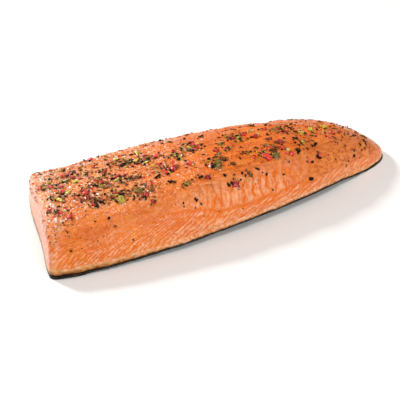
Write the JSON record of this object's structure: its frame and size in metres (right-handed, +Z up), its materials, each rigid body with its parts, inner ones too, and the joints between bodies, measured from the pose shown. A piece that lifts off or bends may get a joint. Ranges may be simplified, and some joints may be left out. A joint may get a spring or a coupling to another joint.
{
  "type": "peppered salmon fillet",
  "caption": "Thick side of cooked salmon lying on its skin, cut square at one end and tapering to a rounded tail end, with cracked pepper and dried bell pepper on top.",
  "frame": {"origin": "on the ground, in the middle of the fillet's outline", "axes": "+X along the fillet towards the tail end, -Y towards the back's side cut, +Z up through the thickness"},
  "size_m": [0.3596, 0.1541, 0.0514],
  "materials": {
    "salmon_flesh": "moist orange flesh with pale flake lines and a thin film of oil",
    "salmon_fat": "soft tan fat, blotched with brown and cream",
    "fish_skin": "near-black moist skin with fine scales and a silvery belly side",
    "red_pepper_pieces": "glossy, slightly clear dried red pepper",
    "green_pepper_pieces": "glossy, slightly clear dried green pepper",
    "cracked_pepper": "rough broken peppercorn, oily",
    "dried_herbs": "dark curled herb flecks"
  },
  "bodies": {
    "root": {"flesh": "salmon_flesh", "fat_layer": "salmon_fat", "skin": "fish_skin"}
  },
  "joints": []
}
